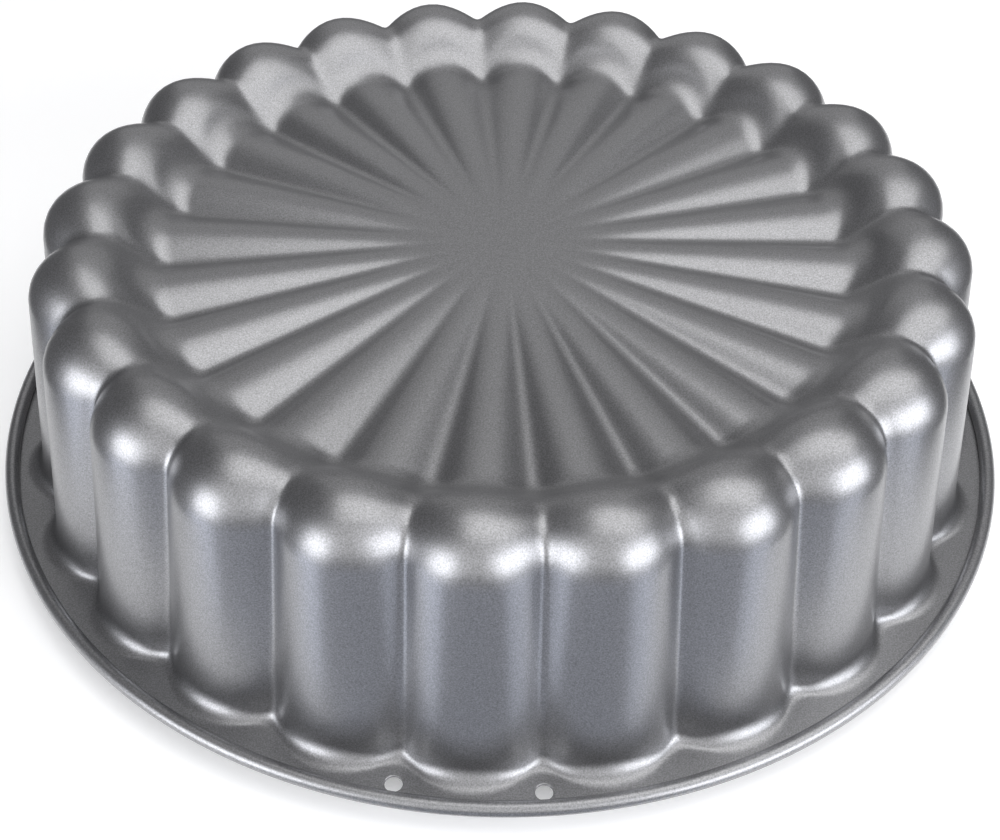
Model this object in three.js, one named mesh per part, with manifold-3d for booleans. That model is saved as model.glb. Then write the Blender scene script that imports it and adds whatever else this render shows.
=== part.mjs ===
// Charlotte mould, turned over on its rim: a fluted cake mould pressed from one steel sheet.
// Millimetres, +Z up, rim resting on z = 0, mould axis on Z, middle front flute towards -Y.
import * as THREE from 'three';
import { mergeVertices } from 'three/addons/utils/BufferGeometryUtils.js';
import Module from 'manifold-3d';

const degree = Math.PI / 180;

// Pressed sheet
const sheet = 0.8;
const height = 70;
const flutes = 24;
const ridgeRadius = 13.9;
const ridgeFlute = 4;

// Outer wall, measured where it would reach the table
const wallRadius = 129.8;
const wallFlute = 4.8;
const crestDraft = 6 * degree;
const creaseDraft = 8.1 * degree;
const crestFootRound = 3.5;
const creaseFootRound = 2.8;

// Rosette base inside the ring
const discRadius = 20;
const baseDrop = 10.5;
const petalDepth = 4;
const crestInnerSlope = 54 * degree;
const creaseInnerSlope = 38.5 * degree;
const creaseCornerRound = 4.2;

// How full each flute's cross-section is: below zero rounder, above zero more peaked
const petalFullness = -0.2;
const ridgeFullness = 1.1;
const wallFullness = -0.5;
const creaseBlend = 0.11;

// Flange with its curled rim, wire and two hanging holes
const flangeWidth = 10.2;
const curlRadius = 1.9;
const curlGap = 0.3;
const wireClearance = 0.4;
const holeDiameter = 4.2;
const holeInset = 7;

// Fineness of the pressed surface
const stepsPerFlute = 6;
const cornerStart = 0.73;
const innerSteps = 5;
const ridgeSteps = 4;
const footSteps = 2;
const curlSteps = 6;

const rimRadius = wallRadius + flangeWidth;
const curlCentre = rimRadius - curlRadius;
const halfPitch = Math.PI / flutes;
const ridgeCentreZ = height - ridgeRadius;
const baseZ = height - baseDrop;

const crestLine = {
  ridge: ridgeRadius,
  foot: wallRadius,
  draft: crestDraft,
  footRound: crestFootRound,
  floor: baseZ,
  slope: crestInnerSlope,
};
const creaseLine = {
  ridge: ridgeRadius - ridgeFlute,
  foot: wallRadius - wallFlute,
  draft: creaseDraft,
  footRound: creaseFootRound,
  floor: baseZ - petalDepth,
  slope: creaseInnerSlope,
  cornerRound: creaseCornerRound,
};

// A point on the sheet's outer face with its direction of travel away from the mould axis
function station(r, z, heading) {
  return { r, z, dr: Math.cos(heading), dz: Math.sin(heading) };
}

// The outer face followed outwards along a crest or along a crease
function meridian(line) {
  const centreR = line.foot - ridgeCentreZ * Math.tan(line.draft) - line.ridge / Math.cos(line.draft);
  const bendR = centreR - line.ridge * Math.sin(line.slope);
  const bendZ = ridgeCentreZ + line.ridge * Math.cos(line.slope);
  const cornerR = bendR - (bendZ - line.floor) / Math.tan(line.slope);
  const tilt = Math.atan2(line.floor - baseZ, cornerR - discRadius);
  const halfTurn = Math.tan((line.slope - tilt) / 2);
  const innerLength = (bendZ - line.floor) / Math.sin(line.slope);
  const cornerRound = line.cornerRound ?? innerLength / halfTurn;
  const reach = cornerRound * halfTurn;
  const roundStart = cornerR - reach * Math.cos(tilt);
  const roundEnd = cornerR + reach * Math.cos(line.slope);
  const roundR = roundStart - cornerRound * Math.sin(tilt);
  const roundZ = line.floor - reach * Math.sin(tilt) + cornerRound * Math.cos(tilt);

  function baseStation(r) {
    if (r < roundStart) {
      return station(r, baseZ + (r - discRadius) * Math.tan(tilt), tilt);
    }
    if (r < roundEnd) {
      const heading = Math.asin((r - roundR) / cornerRound);
      return station(r, roundZ - cornerRound * Math.cos(heading), heading);
    }
    if (r < bendR) {
      return station(r, line.floor + (r - cornerR) * Math.tan(line.slope), line.slope);
    }
    const heading = Math.asin((centreR - r) / line.ridge);
    return station(r, ridgeCentreZ + line.ridge * Math.cos(heading), heading);
  }

  const stations = [];
  for (let i = 0; i <= innerSteps; i += 1) {
    const share = cornerStart + (1 - cornerStart) * i / innerSteps;
    stations.push(baseStation(discRadius + (centreR - discRadius) * share));
  }
  const wallTurn = Math.PI / 2 - line.draft;
  for (let i = 1; i <= ridgeSteps; i += 1) {
    const turn = wallTurn * i / ridgeSteps;
    const r = centreR + line.ridge * Math.sin(turn);
    stations.push(station(r, ridgeCentreZ + line.ridge * Math.cos(turn), -turn));
  }
  const footReach = line.footRound * Math.tan(wallTurn / 2);
  const footR = line.foot - sheet * Math.tan(line.draft) + footReach;
  const footZ = sheet + line.footRound;
  for (let i = 0; i <= footSteps; i += 1) {
    const turn = wallTurn * (1 - i / footSteps);
    const r = footR - line.footRound * Math.sin(turn);
    stations.push(station(r, footZ - line.footRound * Math.cos(turn), -turn));
  }
  return stations;
}

// Fullness of the flutes, station by station, from the petals over the ridge to the foot
const fullness = [];
for (let i = 0; i <= innerSteps; i += 1) {
  fullness.push(petalFullness + (ridgeFullness - petalFullness) * i / innerSteps);
}
for (let i = 1; i <= ridgeSteps; i += 1) {
  fullness.push(ridgeFullness + (wallFullness - ridgeFullness) * i / ridgeSteps);
}
for (let i = 0; i <= footSteps; i += 1) {
  fullness.push(wallFullness);
}

// Arc across one flute: 1 on the crest (u = 0), 0 in the rounded crease (u = 1 or -1)
function swell(u, full) {
  const width = Math.abs(u);
  const rounding = Math.max(width - 1 + creaseBlend, 0) ** 2 / (2 * creaseBlend);
  const w = (width - rounding) / (1 - creaseBlend / 2);
  const edge = Math.sqrt(1 + full);
  return (1 - w * w) * (1 + edge) / (Math.sqrt(1 + full * w * w) + edge);
}

// Radius and height on the sheet at flute position u, sunk below the outer face by depth
function pressedPoint(row, u, depth) {
  const { crease, crest, full } = row;
  const share = swell(u, full);
  const mix = (key) => crease[key] + (crest[key] - crease[key]) * share;
  const step = 0.001;
  const rise = (swell(u + step, full) - swell(u - step, full)) / (2 * step * halfPitch);
  const r = mix('r');
  const z = mix('z');
  const alongR = mix('dr');
  const alongZ = mix('dz');
  const aroundR = (crest.r - crease.r) * rise;
  const aroundZ = (crest.z - crease.z) * rise;
  const normal = new THREE.Vector3(-r * alongZ, alongZ * aroundR - alongR * aroundZ, r * alongR);
  normal.normalize();
  return {
    radius: r - depth * normal.x,
    side: -depth * normal.y,
    z: z - depth * normal.z,
  };
}

// Rows of the sheet's outer face from the rosette's disc to the end of the flat flange
const discStation = station(discRadius, baseZ, 0);
const flangeStation = station(curlCentre, sheet, 0);
const crestStations = [discStation, ...meridian(crestLine), flangeStation];
const creaseStations = [discStation, ...meridian(creaseLine), flangeStation];
const rowFullness = [petalFullness, ...fullness, wallFullness];
const rows = crestStations.map((crest, i) => ({ crest, crease: creaseStations[i], full: rowFullness[i] }));

// Rounded rim in section, from just after the flange to the curl's free edge
const curlEnd = Math.PI + Math.asin((curlRadius - sheet - curlGap) / curlRadius);
function curl(radius) {
  const entries = [];
  for (let i = 1; i <= curlSteps; i += 1) {
    const angle = -Math.PI / 2 + (curlEnd + Math.PI / 2) * i / curlSteps;
    const r = curlCentre + radius * Math.cos(angle);
    entries.push({ point: { radius: r, side: 0, z: curlRadius + radius * Math.sin(angle) } });
  }
  return entries;
}

// Closed section of the sheet: underside outwards, round the curl, then back over the outer face
const section = [
  { point: { radius: 0, side: 0, z: baseZ - sheet } },
  ...rows.map((row) => ({ row, depth: sheet })),
  ...curl(curlRadius),
  ...curl(curlRadius - sheet).reverse(),
  ...rows.map((row) => ({ row, depth: 0 })).reverse(),
  { point: { radius: 0, side: 0, z: baseZ } },
];

function sectionPoint(entry, u) {
  return entry.point ?? pressedPoint(entry.row, u, entry.depth);
}

// Turned blank of the section, with every column of points pressed to its place in its flute
function pressedShell() {
  const columns = flutes * stepsPerFlute;
  const blank = section.map((entry) => {
    const point = sectionPoint(entry, 0);
    return new THREE.Vector2(point.radius, point.z);
  });
  const geometry = new THREE.LatheGeometry(blank, columns);
  const position = geometry.attributes.position;
  for (let column = 0; column <= columns; column += 1) {
    const angle = 2 * Math.PI * column / columns;
    const inFlute = (column + stepsPerFlute / 2) % stepsPerFlute;
    const u = 2 * inFlute / stepsPerFlute - 1;
    section.forEach((entry, i) => {
      const { radius, side, z } = sectionPoint(entry, u);
      const x = radius * Math.sin(angle) + side * Math.cos(angle);
      const y = radius * Math.cos(angle) - side * Math.sin(angle);
      position.setXYZ(column * section.length + i, x, z, y);
    });
  }
  geometry.rotateX(Math.PI / 2);
  return geometry;
}

const wasm = await Module();
wasm.setup();

// Closed solid from a geometry, its points joined and its collapsed triangles dropped
function solid(geometry) {
  geometry.deleteAttribute('normal');
  geometry.deleteAttribute('uv');
  const merged = mergeVertices(geometry, 1e-4);
  const corners = [];
  for (let i = 0; i < merged.index.count; i += 3) {
    const triangle = [merged.index.getX(i), merged.index.getX(i + 1), merged.index.getX(i + 2)];
    if (new Set(triangle).size === 3) {
      corners.push(...triangle);
    }
  }
  const mesh = new wasm.Mesh({
    numProp: 3,
    vertProperties: new Float32Array(merged.attributes.position.array),
    triVerts: new Uint32Array(corners),
  });
  return new wasm.Manifold(mesh);
}

function geometryOf(body) {
  const mesh = body.getMesh();
  const geometry = new THREE.BufferGeometry();
  geometry.setAttribute('position', new THREE.BufferAttribute(mesh.vertProperties, 3));
  geometry.setIndex(new THREE.BufferAttribute(mesh.triVerts, 1));
  geometry.computeVertexNormals();
  return geometry;
}

// Hanging holes, punched through the flange at the creases on each side of the middle front flute
function holePunch(side) {
  const punch = new THREE.CylinderGeometry(holeDiameter / 2, holeDiameter / 2, 4 * sheet, 24);
  punch.rotateX(Math.PI / 2);
  const holeCircle = rimRadius - holeInset;
  punch.translate(side * holeCircle * Math.sin(halfPitch), -holeCircle * Math.cos(halfPitch), sheet / 2);
  return solid(punch);
}

const shell = new THREE.Mesh(
  geometryOf(solid(pressedShell()).subtract(holePunch(-1)).subtract(holePunch(1))),
  new THREE.MeshStandardMaterial({ color: 0x85868a, roughness: 0.42, metalness: 0.75 }),
);
shell.name = 'pressed_shell';

// Wire hoop that the rim is curled round
const wireRadius = curlRadius - sheet - wireClearance;
const hoop = new THREE.TorusGeometry(curlCentre, wireRadius, 6, 96);
hoop.translate(0, 0, curlRadius);
const wire = new THREE.Mesh(
  geometryOf(solid(hoop)),
  new THREE.MeshStandardMaterial({ color: 0x8d8c88, roughness: 0.5, metalness: 0.9 }),
);
wire.name = 'rim_wire';

const mould = new THREE.Group();
mould.name = 'charlotte_mould';
mould.add(shell, wire);

export default mould;
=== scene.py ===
from math import asin, atan2, cos, pi, radians, sin, sqrt, tan

import bmesh
import bpy
from mathutils import Matrix, Vector


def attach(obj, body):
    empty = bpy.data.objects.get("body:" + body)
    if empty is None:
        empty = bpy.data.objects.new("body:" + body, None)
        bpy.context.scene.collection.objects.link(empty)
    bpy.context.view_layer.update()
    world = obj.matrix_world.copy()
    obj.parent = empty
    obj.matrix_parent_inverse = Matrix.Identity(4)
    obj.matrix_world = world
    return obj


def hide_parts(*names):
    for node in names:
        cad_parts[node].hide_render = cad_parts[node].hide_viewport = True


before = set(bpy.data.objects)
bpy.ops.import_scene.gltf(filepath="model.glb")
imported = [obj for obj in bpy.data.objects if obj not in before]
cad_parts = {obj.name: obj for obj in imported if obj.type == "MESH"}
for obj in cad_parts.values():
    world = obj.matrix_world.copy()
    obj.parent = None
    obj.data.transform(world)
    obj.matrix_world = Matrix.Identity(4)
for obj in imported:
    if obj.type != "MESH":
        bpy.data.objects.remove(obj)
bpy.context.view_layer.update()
scene = bpy.context.scene


# Pressed shell: the whole mould, deep-drawn from one steel sheet and sprayed with a metallic
# non-stick coating. Base, ring, wall and flange are one skin, and its edge is rolled up into
# a curl at the rim.
MM = 0.001
SHEET = 0.8 * MM
HEIGHT = 70 * MM
FLUTES = 24
RIDGE_RADIUS = 13.9 * MM
RIDGE_FLUTE = 4 * MM
RIDGE_CENTRE_Z = HEIGHT - RIDGE_RADIUS
WALL_RADIUS = 129.8 * MM
WALL_FLUTE = 4.8 * MM
DISC_RADIUS = 20 * MM
BASE_DEPTH = 10.5 * MM
BASE_Z = HEIGHT - BASE_DEPTH
PETAL_DEPTH = 4 * MM
FLANGE_WIDTH = 10.16 * MM
CURL_RADIUS = 1.9 * MM
CURL_GAP = 0.3 * MM
RIM_RADIUS = WALL_RADIUS + FLANGE_WIDTH
CURL_CENTRE = RIM_RADIUS - CURL_RADIUS
CREST = {
    "ridge": RIDGE_RADIUS,
    "foot": WALL_RADIUS,
    "draft": radians(6),
    "foot_round": 5 * MM,
    "floor": BASE_Z,
    "slope": radians(54),
}
CREASE = {
    "ridge": RIDGE_RADIUS - RIDGE_FLUTE,
    "foot": WALL_RADIUS - WALL_FLUTE,
    "draft": radians(8.1),
    "foot_round": 4 * MM,
    "floor": BASE_Z - PETAL_DEPTH,
    "slope": radians(38.5),
    "corner_round": 6.5 * MM,
}
FULLNESS = {"petals": -0.2, "ridge": 1.1, "wall": -0.5, "flange": -0.5}
CREASE_BLEND = {"petals": 0.3, "ridge": 0.12, "wall": 0.1, "flange": 0.35}
CORNER_START = 0.73
PETAL_ROWS = 12
INNER_ROWS = 26
RIDGE_ROWS = 22
WALL_ROWS = 8
FOOT_ROWS = 9
FLANGE_ROWS = 8
CURL_ROWS = 16
HOLE_RADIUS = 2.1 * MM
HOLE_FROM_CREASE = 8 * MM
HOLE_CENTRE = WALL_RADIUS - WALL_FLUTE + HOLE_FROM_CREASE
HOLE_ROUND = 0.3 * MM
HOLE_MARGIN = 0.15 * MM
HOLE_ROUND_STEPS = 4
HOLE_SEGMENTS = 40
HOLE_PATCH = radians(2)
STEPS_PER_FLUTE = 18
CREASE_CROWDING = 0.85
MERGE_WITHIN = 0.001 * MM
LEVEL_WITHIN = 0.01 * MM
FLAT_NORMAL = 0.9


def ridge_centre(line):
    """Radius of the middle of the rounded ridge, from the wall's foot and its draft."""
    wall_r = line["foot"] - RIDGE_CENTRE_Z * tan(line["draft"])
    return wall_r - line["ridge"] / cos(line["draft"])


def base_height(line, r):
    """Height of the outer face at radius r, from the rosette's disc to the top of the ridge."""
    centre_r = ridge_centre(line)
    bend_r = centre_r - line["ridge"] * sin(line["slope"])
    bend_z = RIDGE_CENTRE_Z + line["ridge"] * cos(line["slope"])
    corner_r = bend_r - (bend_z - line["floor"]) / tan(line["slope"])
    tilt = atan2(line["floor"] - BASE_Z, corner_r - DISC_RADIUS)
    half_turn = tan((line["slope"] - tilt) / 2)
    inner_length = (bend_z - line["floor"]) / sin(line["slope"])
    corner_round = line.get("corner_round", inner_length / half_turn)
    reach = corner_round * half_turn
    round_start = corner_r - reach * cos(tilt)
    if r < round_start:
        return BASE_Z + (r - DISC_RADIUS) * tan(tilt)
    if r < corner_r + reach * cos(line["slope"]):
        heading = asin((r - round_start) / corner_round + sin(tilt))
        return line["floor"] - reach * sin(tilt) + corner_round * (cos(tilt) - cos(heading))
    if r < bend_r:
        return line["floor"] + (r - corner_r) * tan(line["slope"])
    return RIDGE_CENTRE_Z + sqrt(max(line["ridge"] ** 2 - (centre_r - r) ** 2, 0))


def meridian(line):
    """Outer face along a crest or a crease: (radius, height) from the disc to the curl's edge."""
    centre_r = ridge_centre(line)
    points = []
    for i in range(PETAL_ROWS):
        share = CORNER_START * i / PETAL_ROWS
        r = DISC_RADIUS + (centre_r - DISC_RADIUS) * share
        points.append((r, base_height(line, r)))
    for i in range(INNER_ROWS + 1):
        share = CORNER_START + (1 - CORNER_START) * i / INNER_ROWS
        r = DISC_RADIUS + (centre_r - DISC_RADIUS) * share
        points.append((r, base_height(line, r)))
    wall_turn = pi / 2 - line["draft"]
    for i in range(1, RIDGE_ROWS + 1):
        turn = wall_turn * i / RIDGE_ROWS
        r = centre_r + line["ridge"] * sin(turn)
        points.append((r, RIDGE_CENTRE_Z + line["ridge"] * cos(turn)))
    wall_top = points[-1]
    foot_round = line["foot_round"]
    foot_r = line["foot"] - SHEET * tan(line["draft"]) + foot_round * tan(wall_turn / 2)
    foot_z = SHEET + foot_round
    wall_end = (foot_r - foot_round * sin(wall_turn), foot_z - foot_round * cos(wall_turn))
    for i in range(1, WALL_ROWS):
        points.append(tuple(Vector(wall_top).lerp(Vector(wall_end), i / WALL_ROWS)))
    for i in range(FOOT_ROWS + 1):
        turn = wall_turn * (1 - i / FOOT_ROWS)
        points.append((foot_r - foot_round * sin(turn), foot_z - foot_round * cos(turn)))
    for i in range(1, FLANGE_ROWS):
        points.append((foot_r + (CURL_CENTRE - foot_r) * i / FLANGE_ROWS, SHEET))
    inside = CURL_RADIUS - SHEET
    curl_end = pi + asin((inside - CURL_GAP) / CURL_RADIUS)
    for i in range(CURL_ROWS + 1):
        angle = -pi / 2 + (curl_end + pi / 2) * i / CURL_ROWS
        points.append((CURL_CENTRE + inside * cos(angle), CURL_RADIUS + inside * sin(angle)))
    return points


def along(row, petals, ridge, wall, flange):
    """A value on its way from the petals over the ridge and down the wall to the flange."""
    stops = [(PETAL_ROWS, petals), (PETAL_ROWS + INNER_ROWS, ridge)]
    for rows, value in ((RIDGE_ROWS, wall), (WALL_ROWS, wall), (FOOT_ROWS, flange)):
        stops.append((stops[-1][0] + rows, value))
    for (start, before), (end, after) in zip(stops, stops[1:]):
        if row < end:
            return before + (after - before) * max(row - start, 0) / (end - start)
    return flange


def swell(u, full, blend):
    """Arc across one flute: 1 on the crest (u = 0), 0 in the rounded crease (u = 1 or -1)."""
    width = abs(u)
    w = (width - max(width - 1 + blend, 0) ** 2 / (2 * blend)) / (1 - blend / 2)
    edge = sqrt(1 + full)
    return (1 - w * w) * (1 + edge) / (sqrt(1 + full * w * w) + edge)


crest_line = meridian(CREST)
crease_line = meridian(CREASE)
shell = bmesh.new()
row_of = shell.verts.layers.int.new("row")
blank = [shell.verts.new((0, 0, BASE_Z))]
blank[0][row_of] = -1
for row, (r, z) in enumerate(crest_line):
    blank.append(shell.verts.new((0, -r, z)))
    blank[-1][row_of] = row
blank_edges = [shell.edges.new(pair) for pair in zip(blank, blank[1:])]
bmesh.ops.spin(
    shell, geom=blank + blank_edges, axis=(0, 0, 1), angle=2 * pi,
    steps=FLUTES * STEPS_PER_FLUTE, use_merge=True,
)
bmesh.ops.remove_doubles(shell, verts=shell.verts, dist=MERGE_WITHIN)
pitch = 2 * pi / FLUTES
for vert in shell.verts:
    row = vert[row_of]
    if row < 0:
        continue
    around = atan2(vert.co.x, -vert.co.y)
    flute = round(around / pitch)
    v = 2 * (around / pitch - flute)
    u = CREASE_CROWDING * sin(v * pi / 2) + (1 - CREASE_CROWDING) * v
    share = swell(u, along(row, **FULLNESS), along(row, **CREASE_BLEND))
    r, z = Vector(crease_line[row]).lerp(Vector(crest_line[row]), share)
    angle = (flute + u / 2) * pitch
    vert.co = (r * sin(angle), -r * cos(angle), z)
bmesh.ops.recalc_face_normals(shell, faces=shell.faces)
# The widest faces lie inside the curl, so the recalculated sheet shows its back: it is turned over
bmesh.ops.reverse_faces(shell, faces=shell.faces)
bmesh.ops.solidify(shell, geom=shell.faces[:], thickness=SHEET)

# The two hanging holes are punched where a crease meets the flange, and their edges are rounded
first_flange_row = PETAL_ROWS + INNER_ROWS + RIDGE_ROWS + WALL_ROWS + FOOT_ROWS + 1
for side in (-1, 1):
    hole_angle = side * pitch / 2
    loops = []
    for face_side in (1, -1):
        patch = [
            face for face in shell.faces
            if face.normal.z * face_side > FLAT_NORMAL and all(
                first_flange_row <= vert[row_of] < first_flange_row + FLANGE_ROWS - 1
                and abs(atan2(vert.co.x, -vert.co.y) - hole_angle) < HOLE_PATCH
                for vert in face.verts
            )
        ]
        patch_edges = [edge for face in patch for edge in face.edges]
        loops.append([edge for edge in set(patch_edges) if patch_edges.count(edge) == 1])
        bmesh.ops.delete(shell, geom=patch, context="FACES")
    centre = Vector((HOLE_CENTRE * sin(hole_angle), -HOLE_CENTRE * cos(hole_angle), 0))
    lip = [(HOLE_RADIUS + HOLE_ROUND + HOLE_MARGIN, 0)]
    for i in range(HOLE_ROUND_STEPS + 1):
        turn = pi / 2 * i / HOLE_ROUND_STEPS
        lip.append((HOLE_RADIUS + HOLE_ROUND * (1 - sin(turn)), HOLE_ROUND * (1 - cos(turn))))
    lip = [(r, SHEET - drop) for r, drop in lip] + [(r, drop) for r, drop in reversed(lip)]
    lip_verts = [shell.verts.new(centre + Vector((r, 0, z))) for r, z in lip]
    lip_edges = [shell.edges.new(pair) for pair in zip(lip_verts, lip_verts[1:])]
    bmesh.ops.spin(
        shell, geom=lip_verts + lip_edges, cent=centre, axis=(0, 0, 1), angle=2 * pi,
        steps=HOLE_SEGMENTS, use_merge=True,
    )
    for loop, level, up in ((loops[0], SHEET, 1), (loops[1], 0, -1)):
        circle = [
            edge for edge in shell.edges
            if edge.is_boundary and edge not in loop
            and all(abs(vert.co.z - level) < LEVEL_WITHIN for vert in edge.verts)
        ]
        bmesh.ops.triangle_fill(shell, edges=loop + circle, normal=(0, 0, up))
bmesh.ops.recalc_face_normals(shell, faces=shell.faces)
shell_mesh = bpy.data.meshes.new("coated_shell")
shell.to_mesh(shell_mesh)
shell.free()
shell_mesh.shade_smooth()
coated_shell = bpy.data.objects.new("coated_shell", shell_mesh)
scene.collection.objects.link(coated_shell)


def linear(hex_colour):
    """The sRGB colour '#rrggbb' as linear RGBA."""
    channels = [int(hex_colour[i:i + 2], 16) / 255 for i in (1, 3, 5)]
    return [c / 12.92 if c <= 0.04045 else ((c + 0.055) / 1.055) ** 2.4 for c in channels] + [1]


def add_node(material, kind, links=(), **settings):
    """Add a node: settings name its properties or inputs, links are (input, output) pairs."""
    node = material.node_tree.nodes.new(kind)
    for name, value in settings.items():
        if hasattr(node, name):
            setattr(node, name, value)
        else:
            node.inputs[name].default_value = value
    for socket, source in links:
        material.node_tree.links.new(source, node.inputs[socket])
    return node


# Silver metallic non-stick coating, sprayed on and baked: aluminium flakes in a clear grey binder.
# It gives a satin metal sheen that blurs every reflection, and a fine speckle of flakes that
# lie at slightly different tilts. A flake is some 0.1 mm; the speckle is drawn at 0.36 mm to show.
FLAKE = 0.36 * MM
SPRAY_MOTTLE = 6 * MM
coating = bpy.data.materials.new("silver_nonstick_coating")
coating.use_nodes = True
coating.node_tree.nodes.clear()
place = add_node(coating, "ShaderNodeTexCoord").outputs["Object"]
flakes = add_node(
    coating, "ShaderNodeTexNoise", [("Vector", place)],
    Scale=1 / FLAKE, Detail=1.0, Roughness=0.5,
)
mottle = add_node(
    coating, "ShaderNodeTexNoise", [("Vector", place)],
    Scale=1 / SPRAY_MOTTLE, Detail=2.0, Roughness=0.5,
)
flake_colour = add_node(coating, "ShaderNodeValToRGB", [("Fac", flakes.outputs["Fac"])])
flake_colour.color_ramp.elements[0].position = 0.25
flake_colour.color_ramp.elements[0].color = linear("#7e7e7f")
flake_colour.color_ramp.elements[1].position = 0.75
flake_colour.color_ramp.elements[1].color = linear("#a2a2a4")
sheen = add_node(
    coating, "ShaderNodeMapRange", [("Value", mottle.outputs["Fac"])],
    **{"From Min": 0.3, "From Max": 0.7, "To Min": 0.41, "To Max": 0.43},
)
flake_tilt = add_node(
    coating, "ShaderNodeBump", [("Height", flakes.outputs["Fac"])],
    Strength=0.35, Distance=0.02 * MM,
)
paint = add_node(
    coating, "ShaderNodeBsdfPrincipled",
    [
        ("Base Color", flake_colour.outputs["Color"]),
        ("Roughness", sheen.outputs["Result"]),
        ("Normal", flake_tilt.outputs["Normal"]),
    ],
    Metallic=1.0,
    **{"Coat Weight": 0.6, "Coat Roughness": 0.25},
)
add_node(coating, "ShaderNodeOutputMaterial", [("Surface", paint.outputs["BSDF"])])
shell_mesh.materials.append(coating)
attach(coated_shell, "root")
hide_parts("pressed_shell")


# Rim wire: a hoop of plain drawn steel wire that the edge of the sheet is curled round. It
# stiffens the rim, is held by the curl alone, and hardly shows.
WIRE_RADIUS = 0.7 * MM
WIRE_STEPS = 240
WIRE_SIDES = 12
wire = bmesh.new()
section = bmesh.ops.create_circle(
    wire, segments=WIRE_SIDES, radius=WIRE_RADIUS,
    matrix=Matrix.Translation((CURL_CENTRE, 0, CURL_RADIUS)) @ Matrix.Rotation(pi / 2, 4, "X"),
)
section_edges = list({edge for vert in section["verts"] for edge in vert.link_edges})
bmesh.ops.spin(
    wire, geom=section["verts"] + section_edges, axis=(0, 0, 1), angle=2 * pi,
    steps=WIRE_STEPS, use_merge=True,
)
bmesh.ops.remove_doubles(wire, verts=wire.verts, dist=MERGE_WITHIN)
bmesh.ops.recalc_face_normals(wire, faces=wire.faces)
wire_mesh = bpy.data.meshes.new("wire_hoop")
wire.to_mesh(wire_mesh)
wire.free()
wire_mesh.shade_smooth()
wire_hoop = bpy.data.objects.new("wire_hoop", wire_mesh)
scene.collection.objects.link(wire_hoop)

# Bright drawn steel: the die leaves fine scores along the wire, so it shines in streaks
DRAW_SCORE = 0.12 * MM
drawn_steel = bpy.data.materials.new("drawn_steel_wire")
drawn_steel.use_nodes = True
drawn_steel.node_tree.nodes.clear()
place = add_node(drawn_steel, "ShaderNodeTexCoord").outputs["Object"]
split = add_node(drawn_steel, "ShaderNodeSeparateXYZ", [("Vector", place)])
flat = add_node(
    drawn_steel, "ShaderNodeCombineXYZ",
    [("X", split.outputs["X"]), ("Y", split.outputs["Y"])],
)
hoop_radius = add_node(
    drawn_steel, "ShaderNodeVectorMath", [("Vector", flat.outputs["Vector"])],
    operation="LENGTH",
)
across = add_node(
    drawn_steel, "ShaderNodeCombineXYZ",
    [("X", hoop_radius.outputs["Value"]), ("Y", split.outputs["Z"])],
)
scores = add_node(
    drawn_steel, "ShaderNodeTexNoise", [("Vector", across.outputs["Vector"])],
    Scale=1 / DRAW_SCORE, Detail=1.0,
)
score_colour = add_node(drawn_steel, "ShaderNodeValToRGB", [("Fac", scores.outputs["Fac"])])
score_colour.color_ramp.elements[0].color = linear("#8d8b87")
score_colour.color_ramp.elements[1].color = linear("#cfccc6")
score_groove = add_node(
    drawn_steel, "ShaderNodeBump", [("Height", scores.outputs["Fac"])],
    Strength=0.3, Distance=0.01 * MM,
)
steel = add_node(
    drawn_steel, "ShaderNodeBsdfPrincipled",
    [("Base Color", score_colour.outputs["Color"]), ("Normal", score_groove.outputs["Normal"])],
    Metallic=1.0, Roughness=0.35,
)
add_node(drawn_steel, "ShaderNodeOutputMaterial", [("Surface", steel.outputs["BSDF"])])
wire_mesh.materials.append(drawn_steel)
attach(wire_hoop, "root")
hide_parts("rim_wire")


# Floor: a sheet of matt white card just below the rim, which takes the mould's soft shadow. It is
# cut only a little wider than the camera sees, so that the sides of the metal mirror the dim
# studio beside it, and a faint lift keeps its far corners white.
CARD_CORNERS = ((-0.16, -0.1535), (0.17, -0.133), (0.26, 0.3), (-0.29, 0.3))
CARD_DROP = 6 * MM
CARD_THICKNESS = 2 * MM
BACKGROUND_LIFT = 0.2
card = bmesh.new()
cut = card.faces.new([card.verts.new((x, y, -CARD_DROP)) for x, y in CARD_CORNERS])
below = bmesh.ops.extrude_face_region(card, geom=[cut], use_keep_orig=True)["geom"]
below_verts = [part for part in below if isinstance(part, bmesh.types.BMVert)]
bmesh.ops.translate(card, vec=(0, 0, -CARD_THICKNESS), verts=below_verts)
bmesh.ops.recalc_face_normals(card, faces=card.faces)
card_mesh = bpy.data.meshes.new("white_card")
card.to_mesh(card_mesh)
card.free()
white_card = bpy.data.objects.new("white_card", card_mesh)
scene.collection.objects.link(white_card)

# Matt white card: an uncoated paper face that scatters all light evenly and has no shine
paper = bpy.data.materials.new("matt_white_card")
paper.use_nodes = True
paper.node_tree.nodes.clear()
matt_white = add_node(paper, "ShaderNodeBsdfDiffuse", Color=linear("#f4f4f4"))
ray = add_node(paper, "ShaderNodeLightPath")
seen = add_node(
    paper, "ShaderNodeMath",
    [(0, ray.outputs["Is Camera Ray"]), (1, ray.outputs["Is Glossy Ray"])],
    operation="MAXIMUM",
)
seen = add_node(
    paper, "ShaderNodeMath",
    [(0, seen.outputs["Value"]), (1, ray.outputs["Is Transmission Ray"])],
    operation="MAXIMUM",
)
lift = add_node(paper, "ShaderNodeMath", [(0, seen.outputs["Value"])], operation="MULTIPLY")
lift.inputs[1].default_value = BACKGROUND_LIFT
glow = add_node(paper, "ShaderNodeEmission", [("Strength", lift.outputs["Value"])])
lifted_white = add_node(
    paper, "ShaderNodeAddShader",
    [(0, matt_white.outputs["BSDF"]), (1, glow.outputs["Emission"])],
)
add_node(paper, "ShaderNodeOutputMaterial", [("Surface", lifted_white.outputs["Shader"])])
card_mesh.materials.append(paper)


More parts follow.
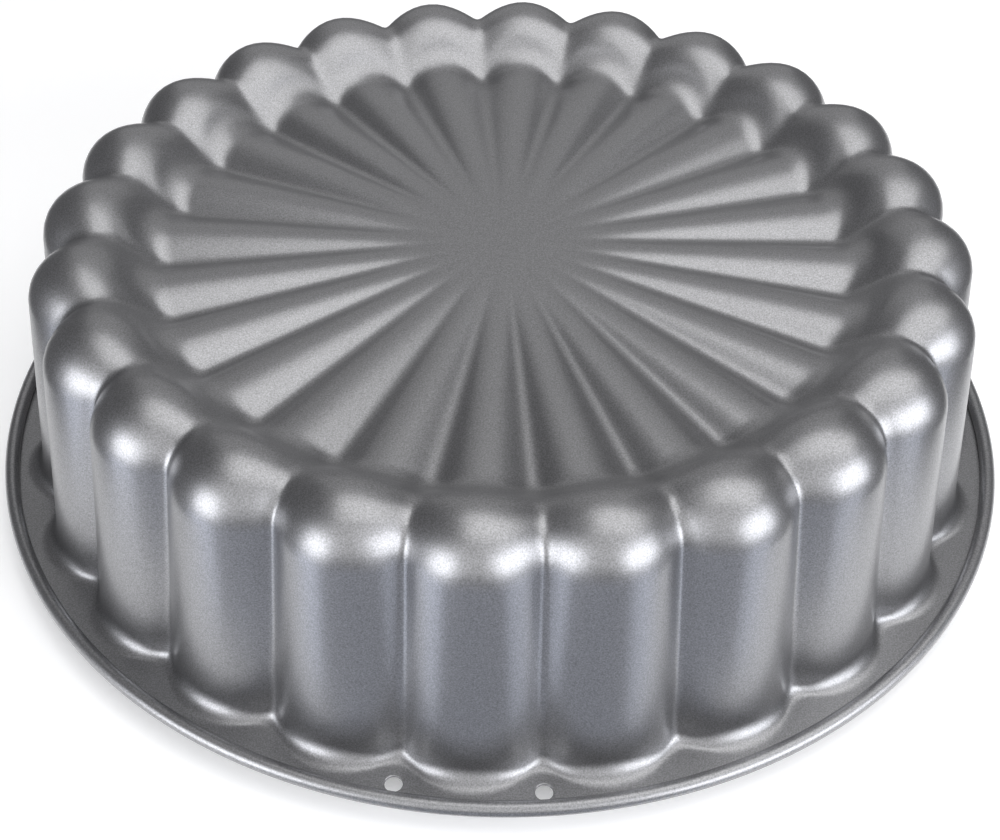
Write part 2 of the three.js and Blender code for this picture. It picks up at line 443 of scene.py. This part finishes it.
# Studio light: a wide softbox overhead, strong ones to the left and right of the camera, a weak
# large one in front and one behind, and three low reflectors below the card's front edge that
# light the wall from beneath. The room itself is dim.
SOFTBOXES = {
    "overhead": ((0.42, 0.01, 1.00), (0.42, 0.01, 0), (1.40, 0.94), 8.06, "#ffffff"),
    "left": ((-0.918, -0.886, 0.278), (0, 0, 0.03), (0.75, 0.79), 9.68, "#f8faff"),
    "right": ((1.036, -0.699, 0.388), (0, 0, 0.03), (1.10, 0.79), 14.06, "#f8faff"),
    "front": ((0.000, -1.102, 0.719), (0, 0, 0.03), (2.60, 1.38), 10.16, "#ffffff"),
    "back": ((-0.077, 1.100, 0.719), (0, 0, 0.03), (1.21, 1.05), 1.44, "#ffffff"),
    "low_left": ((-0.929, -0.675, -0.580), (0, 0, 0.03), (0.65, 0.70), 2.70, "#e4ecff"),
    "low_right": ((0.929, -0.675, -0.580), (0, 0, 0.03), (0.65, 0.70), 2.06, "#e4ecff"),
    "low_front": ((0.000, -1.126, -0.620), (0, 0, 0.03), (1.21, 0.70), 1.46, "#e4ecff"),
}
for name, (spot, target, size, watts, colour) in SOFTBOXES.items():
    lamp = bpy.data.lights.new(name, "AREA")
    lamp.shape = "RECTANGLE"
    lamp.size, lamp.size_y = size
    lamp.energy = watts
    lamp.color = linear(colour)[:3]
    softbox = bpy.data.objects.new(name, lamp)
    softbox.visible_camera = False
    scene.collection.objects.link(softbox)
    aim = (Vector(target) - Vector(spot)).to_track_quat("-Z", "Y").to_matrix().to_4x4()
    softbox.matrix_world = Matrix.Translation(spot) @ aim
room = bpy.data.worlds.new("dim_room")
room.use_nodes = True
room.node_tree.nodes["Background"].inputs["Color"].default_value = linear("#747476")
scene.world = room


# Camera, as the photograph was taken: above the front of the mould, a little to the right of
# the flute between the two holes.
CAMERA_TURN = radians(2.597)
CAMERA_ELEVATION = radians(42.25)
CAMERA_ROLL = radians(1.0046)
CAMERA_OFFSET = (-0.27 * MM, -3.36 * MM, 466.69 * MM)
CAMERA_LENS = 57.74
CAMERA_SENSOR = 36
CAMERA_NEAREST = 10 * MM
camera_data = bpy.data.cameras.new("camera")
camera_data.sensor_fit = "HORIZONTAL"
camera_data.sensor_width = CAMERA_SENSOR
camera_data.lens = CAMERA_LENS
camera_data.clip_start = CAMERA_NEAREST
camera = bpy.data.objects.new("camera", camera_data)
scene.collection.objects.link(camera)
camera.matrix_world = (
    Matrix.Rotation(CAMERA_TURN, 4, "Z")
    @ Matrix.Rotation(pi / 2 - CAMERA_ELEVATION, 4, "X")
    @ Matrix.Translation(CAMERA_OFFSET)
    @ Matrix.Rotation(CAMERA_ROLL, 4, "Z")
)
scene.camera = camera
scene.view_settings.view_transform = "Standard"
